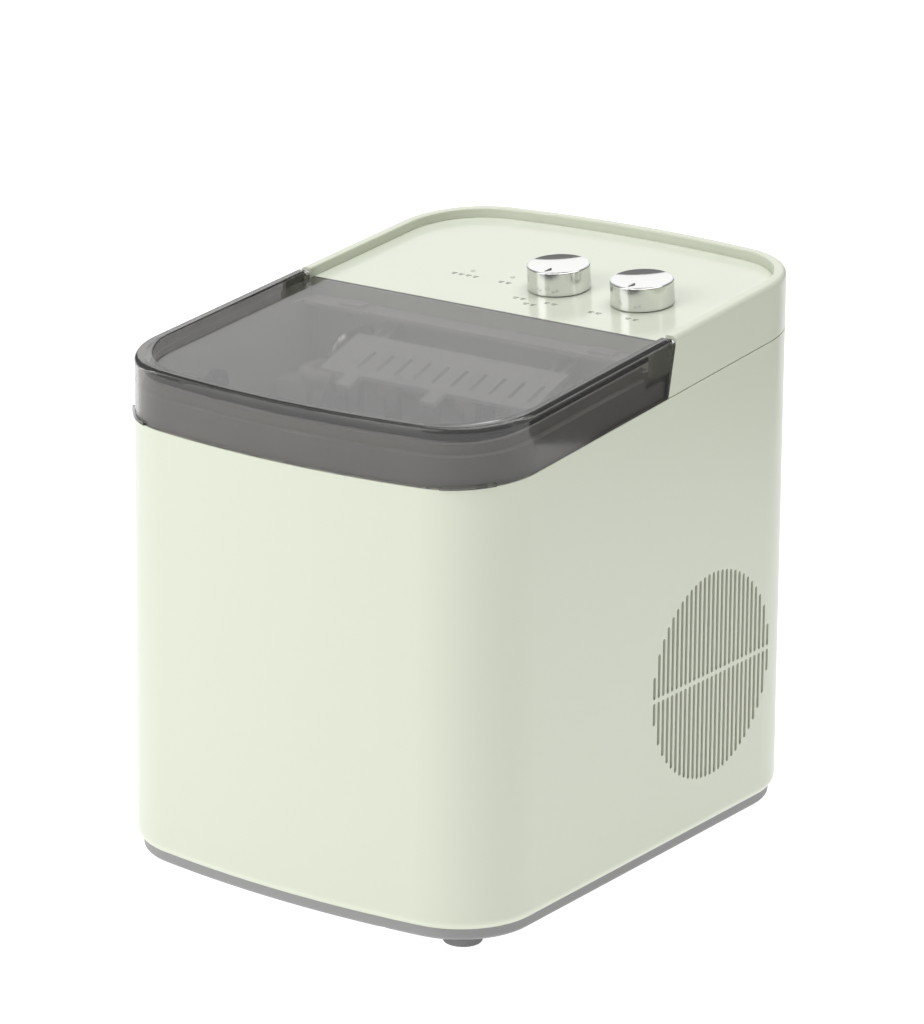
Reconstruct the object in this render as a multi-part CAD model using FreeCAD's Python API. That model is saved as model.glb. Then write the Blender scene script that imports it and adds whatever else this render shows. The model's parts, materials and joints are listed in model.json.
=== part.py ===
import FreeCAD, Part
import math
import os

# Countertop bullet-ice maker, built the way it comes apart on a bench.
# Frame: millimetres, +X to the right, -Y to the front, +Z up.
# The origin is on the counter, under the middle of the outline.

# ---------------------------------------------------------------- driving dimensions
WIDTH = 228.0            # outline across the sides, at the top
DEPTH = 300.0            # outline from the front bow to the rear bow, at the top
FRONT_BOW_R = 566.0      # the front face is a shallow bow
REAR_BOW_R = 588.0
FRONT_CORNER_R = 41.3
REAR_CORNER_R = 45.7
DRAFT = 1.76             # each side leans out this much from the rim down to the base
TILT = 5.5               # slope of the lid, rim and control panel, in degrees

FOOT_H = 4.0
FOOT_R = 9.6
FOOT_SCREW_R = 2.4
FOOT_SEAT = FOOT_H - 1.5  # where the screw head sits inside the foot
BASE_TOP = 10.2          # top of the visible base band, where the shell starts
BASE_FLOOR = FOOT_H + 2.5
BAND_INSET = 3.1
BASE_SCREW_X = 60.0
SEAM_GROOVE = 0.35       # half height of the shadow line between shell and cover
SEAM_Z = 241.4           # sloping planes are named by their height at y = 0
FLOOR_Z = 265.3
RIM_Z = 270.3
RIM_W = 6.3
RIM_CORNER_R = 49.0       # front corners of the lid's sunken floor, rounder than the outline
SHELL_T = 2.5

# lid hinge
HINGE_Y = 8.8
HINGE_Z = 267.4
PIN_R = 1.1
PIN_L = 5.1
PIN_END = 113.1          # outer end of each pin bore
RUN = 0.05               # radial running clearance of a pin in its bore
LID_T = 1.8              # side walls of the lid
LID_TOP_T = 1.3          # top of the lid's rim
LID_FLOOR_T = 2.0
PART_GAP = 0.35          # parting line between lid and top cover
LID_REAR_Y = 16.1        # rear edge of the lid's sunken floor
LEAN_BOTTOM_Y = 7.0      # where the side parting line meets the seam
PARTING_LOW_Z = 150.0    # the parting planes are drawn down to here

# inner liner: a narrow tank below, a wider ice compartment above
TANK_INSET = 12.0
CHAMBER_INSET = 7.4
LINER_T = 2.3
TANK_FLOOR_Z = 66.0
TIER_Z = 196.0
ALCOVE_Z = 160.0         # above this the liner reaches back over the compressor bay
TANK_BACK_Y = -6.0
ALCOVE_BACK_Y = 16.4
SHELF_Z = 256.4          # roof over the evaporator

# knobs
KNOB_R = 16.0
KNOB_H = 11.9
KNOB_XS = (13.8, 63.8)
KNOB_Y = 60.0
KNOB_DISH = 1.1          # depth of the hollow in the top of each knob
SHAFT_R = 3.0

# side grille and fan
FAN_Y = 51.4
FAN_Z = 89.7
GRILLE_R = 53.5
SLOT_PITCH = 4.0
SLOT_W = 2.2
SLOT_COUNT = 27
GRILLE_BAR = 1.8

# ice making
TRAY_Y = -12.0
TRAY_Z = 212.0
TRAY_R = 23.0
TRAY_HALF = 79.0
FINGER_PITCH = 24.0
FINGER_COUNT = 6
SHOVEL_ANGLE = 18.6
SHOVEL_FRONT = (-36.3, 236.05)
SHOVEL_HALF = 64.0
SHOVEL_DEPTH = 34.0
COMB_PITCH = 11.4
RUNNER_X = 54.0

# compressor bay
COMP_X = -44.0
COMP_Y = 80.0
COMP_R = 42.0
COMP_TOP = 137.0
COMP_PLATE_Z = 15.0      # underside of its foot plate

DRAIN_Y = -80.0
DRAIN_Z = 84.0
GLAND_X = -50.0
GLAND_Z = 48.0

SLOPE = math.tan(math.radians(TILT))
TOP_Z = RIM_Z + SLOPE * DEPTH / 2
V = FreeCAD.Vector


# ---------------------------------------------------------------- small helpers
def box(x0, x1, y0, y1, z0, z1):
    return Part.makeBox(x1 - x0, y1 - y0, z1 - z0, V(x0, y0, z0))


def cyl(r, length, at, along=(0, 0, 1)):
    return Part.makeCylinder(r, length, V(*at), V(*along))


def cone(r0, r1, length, at, along=(0, 0, 1)):
    return Part.makeCone(r0, r1, length, V(*at), V(*along))


def join(shapes):
    whole = shapes[0]
    if len(shapes) > 1:
        whole = shapes[0].multiFuse(shapes[1:])
    return whole.removeSplitter()


def group(shapes):
    """Separate solids kept in one node."""
    solids = []
    for shape in shapes:
        solids.extend(shape.Solids)
    return Part.makeCompound(solids)


def mirror_x(shape):
    return shape.mirror(V(0, 0, 0), V(1, 0, 0))


def both_sides(shape):
    return [shape, mirror_x(shape)]


def turned(shape, angle, at=(0, 0, 0), axis=(1, 0, 0)):
    copy = shape.copy()
    copy.rotate(V(*at), V(*axis), angle)
    return copy


def moved(shape, x=0.0, y=0.0, z=0.0):
    copy = shape.copy()
    copy.translate(V(x, y, z))
    return copy


def extrude_yz(points, x0, x1):
    """A closed polygon of (y, z) points, extruded from x0 to x1."""
    corners = [V(x0, y, z) for y, z in points]
    face = Part.Face(Part.makePolygon(corners + corners[:1]))
    return face.extrude(V(x1 - x0, 0, 0))


def slab(low, high):
    """Everything between two sloping planes, named by their heights at y = 0."""
    far = 400.0
    points = [(-far, low - far * SLOPE), (far, low + far * SLOPE),
              (far, high + far * SLOPE), (-far, high - far * SLOPE)]
    return extrude_yz(points, -300.0, 300.0)


def on_slope(shape):
    """Put a shape drawn flat at z = 0 onto the control panel's sloping surface."""
    return moved(turned(shape, TILT), z=FLOOR_Z)


def round_rect(x0, x1, z0, z1, y0, y1, r):
    """A rounded rectangle in X and Z, extruded along Y."""
    block = box(x0, x1, y0, y1, z0, z1)
    edges = [e for e in block.Edges if abs(e.Vertexes[0].Y - e.Vertexes[1].Y) > 1e-6]
    return block.makeFillet(r, edges)


def slot_prism(x0, x1, cy, z0, z1, width):
    """An upright slot with round ends, cut along X."""
    r = width / 2
    body = box(x0, x1, cy - r, cy + r, z0 + r, z1 - r)
    ends = [cyl(r, x1 - x0, (x0, cy, z), (1, 0, 0)) for z in (z0 + r, z1 - r)]
    return join([body] + ends)


def pipe(points, r, bend):
    """A round tube through the points, with an arc of radius bend at each corner."""
    pts = [V(*p) for p in points]
    edges = []
    start = pts[0]
    for i in range(1, len(pts) - 1):
        back = (pts[i - 1] - pts[i]).normalize()
        ahead = (pts[i + 1] - pts[i]).normalize()
        half = back.getAngle(ahead) / 2
        cut = bend / math.tan(half)
        a = pts[i] + back * cut
        b = pts[i] + ahead * cut
        centre = pts[i] + (back + ahead).normalize() * (bend / math.sin(half))
        middle = centre + (pts[i] - centre).normalize() * bend
        edges.append(Part.LineSegment(start, a).toShape())
        edges.append(Part.Arc(a, middle, b).toShape())
        start = b
    edges.append(Part.LineSegment(start, pts[-1]).toShape())
    path = Part.Wire(edges)
    direction = (pts[1] - pts[0]).normalize()
    profile = Part.Wire(Part.makeCircle(r, pts[0], direction))
    return path.makePipeShell([profile], True, False)


def screw(at, along, head_r, head_h, shank_r, length):
    """A pan-head screw: the head sits on the point, the shank runs along the direction."""
    x, y, z = at
    dx, dy, dz = along
    head = cyl(head_r, head_h, (x - dx * head_h, y - dy * head_h, z - dz * head_h), along)
    shank = cyl(shank_r, length, at, along)
    recess = cyl(head_r * 0.45, head_h * 0.55,
                 (x - dx * head_h, y - dy * head_h, z - dz * head_h), along)
    return join([head, shank]).cut(recess)


# ---------------------------------------------------------------- the outline
def draft_at(z):
    return DRAFT * (TOP_Z - z) / (TOP_Z - BASE_TOP)


def corner_centre(sign, bow_r, corner_r):
    """Centre of the corner arc on the +X side: sign -1 is the front, +1 the rear."""
    x = WIDTH / 2 - corner_r
    bow_y = sign * (DEPTH / 2 - bow_r)
    y = bow_y + sign * math.sqrt((bow_r - corner_r) ** 2 - x ** 2)
    return x, y, bow_y


def outline(inset, z, front_corner_r=FRONT_CORNER_R):
    """The plan outline at height z, moved inwards by inset."""
    out = draft_at(z) - inset
    half = WIDTH / 2 + out
    fx, fy, fbow = corner_centre(-1, FRONT_BOW_R, front_corner_r)
    rx, ry, rbow = corner_centre(1, REAR_BOW_R, REAR_CORNER_R)

    def towards(cx, cy, px, py, r):
        d = math.hypot(px - cx, py - cy)
        return V(cx + (px - cx) * r / d, cy + (py - cy) * r / d, z)

    def at_angle(cx, cy, r, a):
        return V(cx + r * math.cos(a), cy + r * math.sin(a), z)

    front_r = FRONT_BOW_R + out
    rear_r = REAR_BOW_R + out
    fr = front_corner_r + out
    rr = REAR_CORNER_R + out
    f_join = towards(0, fbow, fx, fy, front_r)
    r_join = towards(0, rbow, rx, ry, rear_r)
    f_mid = at_angle(fx, fy, fr, math.atan2(fy - fbow, fx) / 2)
    r_mid = at_angle(rx, ry, rr, math.atan2(ry - rbow, rx) / 2)

    def flip(p):
        return V(-p.x, p.y, p.z)

    f_side = V(half, fy, z)
    r_side = V(half, ry, z)
    front_mid = V(0, fbow - front_r, z)
    rear_mid = V(0, rbow + rear_r, z)
    edges = [Part.Arc(flip(f_join), front_mid, f_join).toShape(),
             Part.Arc(f_join, f_mid, f_side).toShape(),
             Part.LineSegment(f_side, r_side).toShape(),
             Part.Arc(r_side, r_mid, r_join).toShape(),
             Part.Arc(r_join, rear_mid, flip(r_join)).toShape(),
             Part.Arc(flip(r_join), flip(r_mid), flip(r_side)).toShape(),
             Part.LineSegment(flip(r_side), flip(f_side)).toShape(),
             Part.Arc(flip(f_side), flip(f_mid), flip(f_join)).toShape()]
    return Part.Wire(edges)


def prism(inset, z0, z1, front_corner_r=FRONT_CORNER_R):
    """The drafted outline between two heights."""
    ends = [outline(inset, z, front_corner_r) for z in (z0, z1)]
    return Part.makeLoft(ends, True, True)


def ring(inset_out, inset_in, z0, z1):
    return prism(inset_out, z0, z1).cut(prism(inset_in, z0 - 1, z1 + 1))


# ---------------------------------------------------------------- outer casing
def base_tray():
    """Grey floor of the machine: a band under the shell and a low inner wall."""
    body = prism(BAND_INSET, FOOT_H, BASE_TOP)
    low = [e for e in body.Edges if e.BoundBox.ZMax < FOOT_H + 0.01]
    body = body.makeFillet(2.2, low)
    wall = ring(10.2, 12.2, BASE_TOP - 1, 22.0)
    body = join([body.cut(prism(12.2, BASE_FLOOR, 30)), wall])
    holes = [cyl(FOOT_SCREW_R + 0.02, BASE_TOP - 1.0, (x, y, 0))
             for x, y in foot_places() + compressor_bolt_places()]
    holes += [cyl(1.55, 20, (x, y, 0)) for x, y in base_screw_places()]
    holes += [cyl(2.7, FOOT_H + 1.8, (x, y, 0)) for x, y in base_screw_places()]
    vents = [box(x - 1.5, x + 1.5, 30, 110, 0, 12) for x in range(34, 74, 8)]
    return body.cut(Part.makeCompound(holes + vents))


def foot_places():
    return [(-86.0, -122.0), (91.0, -126.0), (-89.0, 119.0), (89.0, 119.0)]


def base_screw_places():
    """In the middle of the shell's foot flange."""
    inset = 7.2
    x_side = WIDTH / 2 + DRAFT - inset
    bow = math.sqrt((FRONT_BOW_R + DRAFT - inset) ** 2 - BASE_SCREW_X ** 2)
    y_front = -DEPTH / 2 + FRONT_BOW_R - bow
    y_rear = rear_surface_y(BASE_SCREW_X, BASE_TOP, inset)
    spots = ((BASE_SCREW_X, y_front), (x_side, 0.0), (BASE_SCREW_X, y_rear))
    return [(s * x, y) for s in (-1, 1) for x, y in spots]


def compressor_bolt_places():
    reach = 36.0
    return [(COMP_X + i * reach, COMP_Y + j * reach) for i in (-1, 1) for j in (-1, 1)]


def rubber_feet():
    feet = []
    for x, y in foot_places():
        foot = cyl(FOOT_R, FOOT_H, (x, y, 0))
        foot = foot.makeFillet(1.0, [foot.Edges[2]])
        foot = foot.cut(cyl(5.0, FOOT_SEAT, (x, y, 0)))
        feet.append(foot.cut(cyl(FOOT_SCREW_R + 0.02, 20, (x, y, -1))))
    return group(feet)


def foot_screws():
    length = BASE_TOP - 1.5 - FOOT_SEAT
    return group([screw((x, y, FOOT_SEAT), (0, 0, 1), 4.2, 1.6, FOOT_SCREW_R, length)
                  for x, y in foot_places()])


def grille_slots():
    """Upright slots whose ends lie on a circle, parted by a level bar."""
    slots = []
    for i in range(SLOT_COUNT):
        dy = (i - (SLOT_COUNT - 1) / 2) * SLOT_PITCH
        reach = math.sqrt(max(GRILLE_R ** 2 - dy ** 2, 1.0))
        if reach < GRILLE_BAR / 2 + SLOT_W:
            reach = GRILLE_BAR / 2 + SLOT_W + 1.0
        low = slot_prism(100, 125, FAN_Y + dy, FAN_Z - reach, FAN_Z - GRILLE_BAR / 2, SLOT_W)
        high = slot_prism(100, 125, FAN_Y + dy, FAN_Z + GRILLE_BAR / 2, FAN_Z + reach, SLOT_W)
        slots += [low, high]
    return Part.makeCompound(slots)


def panel_tabs():
    """Ears inside the shell that carry the rear panel's screws."""
    tabs = []
    for side in (-1, 1):
        for z in panel_screw_heights():
            outer = box(min(side * 84, side * 90), max(side * 84, side * 90), 90, 170, z - 8, z + 8)
            ear = box(min(side * 66, side * 90), max(side * 66, side * 90), 90, 170, z - 8, z + 8)
            tabs.append(ring(2.4, 6.8, z - 8, z + 8).common(outer))
            tabs.append(ring(3.8, 6.8, z - 8, z + 8).common(ear))
    return tabs


def panel_screw_heights():
    return (46.0, 124.0, 202.0)


def rear_surface_y(x, z, inset):
    """Where the drafted rear bow is, moved inwards by inset."""
    r = REAR_BOW_R + draft_at(z) - inset
    return DEPTH / 2 - REAR_BOW_R + math.sqrt(r ** 2 - x ** 2)


def seam_groove():
    """Shallow shadow line where the shell meets the top cover."""
    band = ring(-6.0, 0.6, SEAM_Z - 40, SEAM_Z + 40)
    return band.common(slab(SEAM_Z - SEAM_GROOVE, SEAM_Z + SEAM_GROOVE))


def body_shell():
    """Front, sides and rear corners in one moulding, with an in-turned foot flange."""
    curve_r = 5.55
    start = BASE_TOP - 0.85
    body = prism(0, start, 270)
    low = [e for e in body.Edges if e.BoundBox.ZMax < start + 0.01]
    body = body.makeFillet(curve_r, low)
    body = body.cut(box(-200, 200, -200, 200, 0, BASE_TOP))
    body = body.common(slab(-100, SEAM_Z))
    body = body.cut(prism(SHELL_T, BASE_TOP + 3.0, 290))
    body = body.cut(prism(9.0, 0, BASE_TOP + 4.0))
    window = round_rect(-84, 84, 34, 214, 110, 170, 8)
    body = body.cut(window)
    body = join([body] + panel_tabs())
    pilots = [cyl(1.5, 40, (s * 76, 110, z), (0, 1, 0)) for s in (-1, 1) for z in panel_screw_heights()]
    bosses = [cyl(2.7, 7.0, (x, y, BASE_TOP + 2.5)) for x, y in base_screw_places()]
    body = join([body] + bosses)
    pilots += [cyl(1.5, 14, (x, y, 8)) for x, y in base_screw_places()]
    drain = cyl(10.7, 20, (-120, DRAIN_Y, DRAIN_Z), (1, 0, 0))
    body = body.cut(Part.makeCompound(pilots + [drain])).cut(grille_slots())
    return body.cut(seam_groove())


def base_screws():
    seat_z = FOOT_H + 1.8
    screws = [screw((x, y, seat_z), (0, 0, 1), 2.5, 1.5, 1.48, 10.0) for x, y in base_screw_places()]
    return group(screws)


def rear_panel():
    """Curved plate in the rear window, with two columns of louvre slots."""
    plate = ring(1.2, 3.7, 30, 220).common(round_rect(-83.6, 83.6, 34.4, 213.6, 110, 170, 7.6))
    slots = []
    for i in range(13):
        z = 84.0 + i * 9.0
        for side in (-1, 1):
            x0 = 7.0 if side > 0 else -62.0
            slots.append(round_rect(x0, x0 + 55.0, z, z + 3.4, 110, 170, 1.6))
    holes = [cyl(1.8, 60, (s * 76, 110, z), (0, 1, 0)) for s in (-1, 1) for z in panel_screw_heights()]
    gland = cyl(7.0, 60, (GLAND_X, 110, GLAND_Z), (0, 1, 0))
    return plate.cut(Part.makeCompound(slots + holes + [gland]))


def rear_panel_screws():
    screws = []
    for side in (-1, 1):
        for z in panel_screw_heights():
            y = rear_surface_y(73, z - 3, 1.2) + 0.02
            screws.append(screw((side * 76, y, z), (0, -1, 0), 3.0, 0.9, 1.48, 8.0))
    return group(screws)


def cord_gland():
    """Strain-relief bush that grips the supply cord behind the rear panel."""
    y = rear_surface_y(abs(GLAND_X) - 9.5, GLAND_Z - 9.5, 1.2)
    flange = cyl(9.5, 0.9, (GLAND_X, y + 0.02, GLAND_Z), (0, 1, 0))
    barrel = cyl(6.9, 15.0, (GLAND_X, y - 14.8, GLAND_Z), (0, 1, 0))
    nut = cyl(9.5, 5.0, (GLAND_X, y - 9.5, GLAND_Z), (0, 1, 0))
    body = join([flange, barrel, nut])
    return body.cut(cyl(3.6, 40, (GLAND_X, y - 20, GLAND_Z), (0, 1, 0)))


# ---------------------------------------------------------------- top cover and lid
def upper_block():
    """Everything above the seam as one block, with its outer top edge rounded."""
    block = prism(0, SEAM_Z - 30, TOP_Z + 30).common(slab(SEAM_Z, RIM_Z))
    top = []
    for edge in block.Edges:
        heights = [v.Z - RIM_Z - SLOPE * v.Y for v in edge.Vertexes]
        if all(abs(h) < 0.01 for h in heights):
            top.append(edge)
    return block.makeFillet(2.6, top)


def soften_rim(body, well):
    """Round the rim's inner top edge."""
    inner = []
    for edge in body.Edges:
        heights = [v.Z - RIM_Z - SLOPE * v.Y for v in edge.Vertexes]
        if all(abs(h) < 0.01 for h in heights) and edge.distToShape(well)[0] < 0.001:
            inner.append(edge)
    return body.makeFillet(0.8, inner)


def knuckle_radius(grow):
    return (RIM_Z + SLOPE * HINGE_Y - HINGE_Z) * math.cos(math.radians(TILT)) + grow


def parting_face(grow):
    """Side parting line: leans back up the side, then over the hinge knuckle."""
    knuckle = knuckle_radius(grow)
    by = LEAN_BOTTOM_Y + grow
    bz = SEAM_Z + SLOPE * LEAN_BOTTOM_Y
    dy = by - HINGE_Y
    dz = bz - HINGE_Z
    reach = math.hypot(dy, dz)
    touch = math.atan2(dz, dy) + math.acos(knuckle / reach)
    ty = HINGE_Y + knuckle * math.cos(touch)
    tz = HINGE_Z + knuckle * math.sin(touch)
    low_y = by - (ty - by) / (tz - bz) * (bz - PARTING_LOW_Z)
    return low_y, ty, tz, touch


def lid_side_region():
    low_y, ty, tz, touch = parting_face(0.0)
    low_z = PARTING_LOW_Z
    r = knuckle_radius(0.0)
    top_angle = math.radians(90 + TILT)
    mid_angle = (touch + top_angle) / 2
    mid = V(0, HINGE_Y + r * math.cos(mid_angle), HINGE_Z + r * math.sin(mid_angle))
    end = V(0, HINGE_Y + r * math.cos(top_angle), HINGE_Z + r * math.sin(top_angle))
    touch_point = V(0, ty, tz)
    edges = [Part.makeLine(V(0, -250, low_z), V(0, low_y, low_z)),
             Part.makeLine(V(0, low_y, low_z), touch_point),
             Part.Arc(touch_point, mid, end).toShape(),
             Part.makeLine(end, V(0, end.y, 330)),
             Part.makeLine(V(0, end.y, 330), V(0, -250, 330)),
             Part.makeLine(V(0, -250, 330), V(0, -250, low_z))]
    face = Part.Face(Part.Wire(edges))
    region = face.extrude(V(400, 0, 0))
    return moved(region, x=-200)


def cover_side_region():
    """Behind the parting line, leaning back above the pin so that the lid can open fully."""
    low_y, ty, tz, _ = parting_face(PART_GAP)
    low_z = PARTING_LOW_Z
    lean = math.tan(math.radians(7.0))
    points = [(low_y, low_z), (ty, tz), (ty + (330 - tz) * lean, 330), (250, 330), (250, low_z)]
    return extrude_yz(points, -200, 200)


def lid():
    """Smoked lid: an outer skirt, an inverted-channel rim and a sunken floor."""
    block = upper_block()
    under = prism(LID_T, SEAM_Z - 40, TOP_Z + 20).common(slab(SEAM_Z - 40, FLOOR_Z - LID_FLOOR_T))
    channel = ring(LID_T, RIM_W - LID_T, SEAM_Z - 40, TOP_Z + 20)
    channel = channel.common(slab(SEAM_Z - 40, RIM_Z - LID_TOP_T))
    well = prism(RIM_W, SEAM_Z - 40, TOP_Z + 40, RIM_CORNER_R).common(slab(FLOOR_Z, RIM_Z + 20))
    hollow = soften_rim(block.cut(under).cut(well), well)
    knuckle_tunnel = knuckle_radius(0.0) - LID_TOP_T
    walls = hollow.cut(channel).common(lid_side_region())
    floor = prism(RIM_W - 1.0, SEAM_Z - 40, TOP_Z + 20)
    floor = floor.common(slab(FLOOR_Z - LID_FLOOR_T, FLOOR_Z))
    floor = floor.common(box(-200, 200, 0, LID_REAR_Y, 200, 300))
    floor = floor.cut(box(-200, -WIDTH / 2 + RIM_W, -1, 50, 200, 300))
    floor = floor.cut(box(WIDTH / 2 - RIM_W, 200, -1, 50, 200, 300))
    end_caps = []
    for side in (-1, 1):
        x0 = side * (WIDTH / 2 - RIM_W + 0.5)
        x1 = side * (WIDTH / 2 - 0.5)
        tube = cyl(knuckle_radius(0.0), abs(x1 - x0), (min(x0, x1), HINGE_Y, HINGE_Z), (1, 0, 0))
        tube = tube.cut(cyl(knuckle_tunnel, 20, (min(x0, x1) - 5, HINGE_Y, HINGE_Z), (1, 0, 0)))
        wedge = extrude_yz([(HINGE_Y, HINGE_Z + 1.0), (HINGE_Y + 12, HINGE_Z + 1.0),
                            (HINGE_Y + 12, HINGE_Z + 12), (HINGE_Y - 0.4, HINGE_Z + 12)],
                           min(x0, x1), max(x0, x1))
        end_caps.append(tube.common(wedge).common(block))
    body = join([walls, floor] + end_caps + lid_lips())
    bores = [cyl(PIN_R, 5.6, (x, HINGE_Y, HINGE_Z), (1, 0, 0)) for x in (-PIN_END, PIN_END - 5.6)]
    return body.cut(Part.makeCompound(bores))


def lid_lips():
    """Small finger lips on the lower edge, round both front corners."""
    cx, cy, _ = corner_centre(-1, FRONT_BOW_R, FRONT_CORNER_R)
    flare = 1.2
    lips = []
    for side in (-1, 1):
        fan = Part.makeCylinder(70, 80, V(cx, cy, 200), V(0, 0, 1), 36)
        fan.rotate(V(cx, cy, 0), V(0, 0, 1), -69)
        if side < 0:
            fan = mirror_x(fan)
        lip = prism(-flare, SEAM_Z - 40, SEAM_Z + 20).cut(prism(LID_T, SEAM_Z - 41, SEAM_Z + 21))
        lip = lip.common(slab(SEAM_Z, SEAM_Z + 1.6)).common(fan)
        lips.append(lip)
    return lips


def lid_hinge_pins():
    starts = (0.05 - PIN_END, PIN_END - PIN_L - 0.05)
    return group([cyl(PIN_R, PIN_L, (x, HINGE_Y, HINGE_Z), (1, 0, 0)) for x in starts])


def hinge_lug():
    """Arm of the top cover that reaches into the lid's side channel and holds the pin."""
    x0 = WIDTH / 2 - 4.25
    x1 = WIDTH / 2 - 2.05
    hub_r = knuckle_radius(0.0) - LID_TOP_T - 0.2
    hub = cyl(hub_r, x1 - x0, (x0, HINGE_Y, HINGE_Z), (1, 0, 0))
    block = box(x0, x1, -5.6, HINGE_Y - 0.5, 254.5, 280)
    block = block.common(slab(200, RIM_Z - LID_TOP_T - 0.25))
    low = box(x0, x1, -5.6, 20.0, 254.5, HINGE_Z - 4.9)
    pad = box(x0, x1 + 1.2, 14.5, 20.0, 254.5, HINGE_Z - 4.9)
    lug = join([hub, block, low, pad])
    return lug.cut(cyl(PIN_R + RUN, 20, (x0 - 5, HINGE_Y, HINGE_Z), (1, 0, 0)))


def top_cover():
    """Rear half of the top: side skirt, raised rim, a ledge for the panel and hinge lugs."""
    block = upper_block()
    skirt_hollow = prism(2.2, SEAM_Z - 40, TOP_Z + 20).common(slab(SEAM_Z - 40, FLOOR_Z - 4.6))
    well = prism(RIM_W, SEAM_Z - 40, TOP_Z + 40).common(slab(FLOOR_Z - 2.5, RIM_Z + 20))
    opening = prism(RIM_W + 5.0, SEAM_Z - 40, TOP_Z + 40).common(slab(FLOOR_Z - 10, RIM_Z + 20))
    body = soften_rim(block.cut(skirt_hollow).cut(well), well)
    body = body.cut(opening).common(cover_side_region())
    upper = prism(2.0, SEAM_Z - 40, TOP_Z).common(slab(SEAM_Z + 0.2, FLOOR_Z - 2.5))
    lower = prism(2.7, SEAM_Z - 40, TOP_Z).common(slab(SEAM_Z - 3, SEAM_Z + 1))
    wall = join([upper, lower]).common(box(-200, 200, 16.9, 19.1, 200, 300))
    fronts = box(-200, 200, -20, 16.9, 200, 300).common(prism(RIM_W, 200, 300))
    body = join([body.cut(fronts), wall] + both_sides(hinge_lug()))
    posts = []
    for x, y in cover_screw_places():
        posts.append(cyl(4.0, 60, (x, y, 224)).common(slab(200, FLOOR_Z - 2.5)))
    body = join([body] + posts)
    pilots = [cyl(1.5, 16, (x, y, 220)) for x, y in cover_screw_places()]
    pilots += [cyl(4.4, 10, (s * 72, 13, 242), (0, 1, 0)) for s in (-1, 1)]
    return body.cut(Part.makeCompound(pilots)).cut(seam_groove())


def cover_screw_places():
    return [(-102.0, 70.0), (102.0, 70.0), (-60.0, 137.0), (60.0, 137.0)]


def shell_brackets():
    """Steel angle brackets that tie the top cover's posts to the shell."""
    out = []
    for x, y in cover_screw_places():
        if abs(y) < 100:
            plate = box(96.0, 110.6, y - 6, y + 6, 222, 223.9)
            leaf = box(110.6, 111.8, y - 6, y + 6, 205, 223.9)
            if x < 0:
                plate = mirror_x(plate)
                leaf = mirror_x(leaf)
        else:
            y_out = rear_surface_y(60, 222, SHELL_T) - 2.2
            plate = box(x - 6, x + 6, y - 6, y_out, 222, 223.9)
            leaf = box(x - 6, x + 6, y_out, y_out + 1.2, 216, 223.9)
        out.append(join([plate, leaf]).cut(cyl(1.8, 10, (x, y, 218))))
    return group(out)


def cover_screws():
    return group([screw((x, y, 222.0), (0, 0, 1), 3.0, 1.8, 1.48, 10.0) for x, y in cover_screw_places()])


def control_panel():
    """Glossy sloping insert that carries both switches and the two lamps."""
    plate = prism(RIM_W + 0.12, SEAM_Z, TOP_Z + 20).common(slab(FLOOR_Z - 2.4, FLOOR_Z))
    plate = plate.common(box(-200, 200, 16.5, 200, 200, 300))
    holes = [on_slope(cyl(4.6, 10, (x, KNOB_Y, -5))) for x in KNOB_XS]
    holes += [on_slope(cyl(1.3, 10, (x, y, -5))) for x, y in lamp_places()]
    return plate.cut(Part.makeCompound(holes))


def lamp_places():
    return [(-40.2, 61.0), (-16.3, 61.8)]


def indicator_lenses():
    lenses = []
    for x, y in lamp_places():
        rod = cyl(1.28, 5.0, (x, y, -4.8))
        foot = cyl(2.2, 1.0, (x, y, -3.4))
        lenses.append(on_slope(join([rod, foot])))
    return group(lenses)


def control_board():
    board = box(-54, -8, 48, 76, -8.2, -6.6)
    leds = [cyl(2.4, 1.8, (x, y, -6.6)) for x, y in lamp_places()]
    plug = box(-48, -36, 50, 56, -6.6, -3.4)
    return on_slope(join([board] + leds + [plug]))


def board_posts():
    spots = [(-51, 51), (-11, 51), (-51, 73), (-11, 73)]
    return group([on_slope(cyl(2.0, 4.2, (x, y, -6.6))) for x, y in spots])


def knob(x):
    """Chrome cap with a dished top, a raised pointer line and a hub over the switch shaft."""
    gap = 0.6
    top_z = gap + KNOB_H
    cap = cyl(KNOB_R, KNOB_H, (0, 0, gap))
    top = [e for e in cap.Edges if e.BoundBox.ZMin > top_z - 0.01]
    cap = cap.makeFillet(0.5, top)
    cap = cap.cut(cyl(KNOB_R - 1.8, KNOB_H - 2.8, (0, 0, gap - 0.01)))
    edge_r = KNOB_R - 0.7
    dish_r = (edge_r ** 2 + KNOB_DISH ** 2) / (2 * KNOB_DISH)
    dish = Part.makeSphere(dish_r, V(0, 0, top_z + dish_r - KNOB_DISH))
    dish = dish.common(cyl(edge_r + 1.0, KNOB_DISH + 1.0, (0, 0, top_z - KNOB_DISH - 0.5)))
    hub = cyl(6.0, KNOB_H - 3.4, (0, 0, gap + 1.0))
    pointer = box(-0.35, 0.35, -12.4, -6.4, top_z - KNOB_DISH - 0.6, top_z - 0.3)
    body = join([cap, hub]).cut(dish)
    body = join([body, pointer])
    body = body.cut(cyl(SHAFT_R, 8.2, (0, 0, gap)))
    return on_slope(moved(body, x=x, y=KNOB_Y))


def knob_shaft(x):
    rod = cyl(SHAFT_R, 25.6, (x, KNOB_Y, -16.9))
    return on_slope(rod)


def rotary_switches():
    """Two switch bodies under the panel, each with a threaded bush round its shaft."""
    out = []
    for x in KNOB_XS:
        body = box(x - 13, x + 13, KNOB_Y - 13, KNOB_Y + 13, -22, -7.0)
        bush = cyl(4.5, 7.5, (x, KNOB_Y, -7.0))
        tags = [box(x + d - 1, x + d + 1, KNOB_Y - 0.4, KNOB_Y + 0.4, -29, -22) for d in (-8, 0, 8)]
        part = join([body, bush] + tags)
        out.append(on_slope(part.cut(cyl(SHAFT_R + RUN, 20, (x, KNOB_Y, -17)))))
    return group(out)


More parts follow.
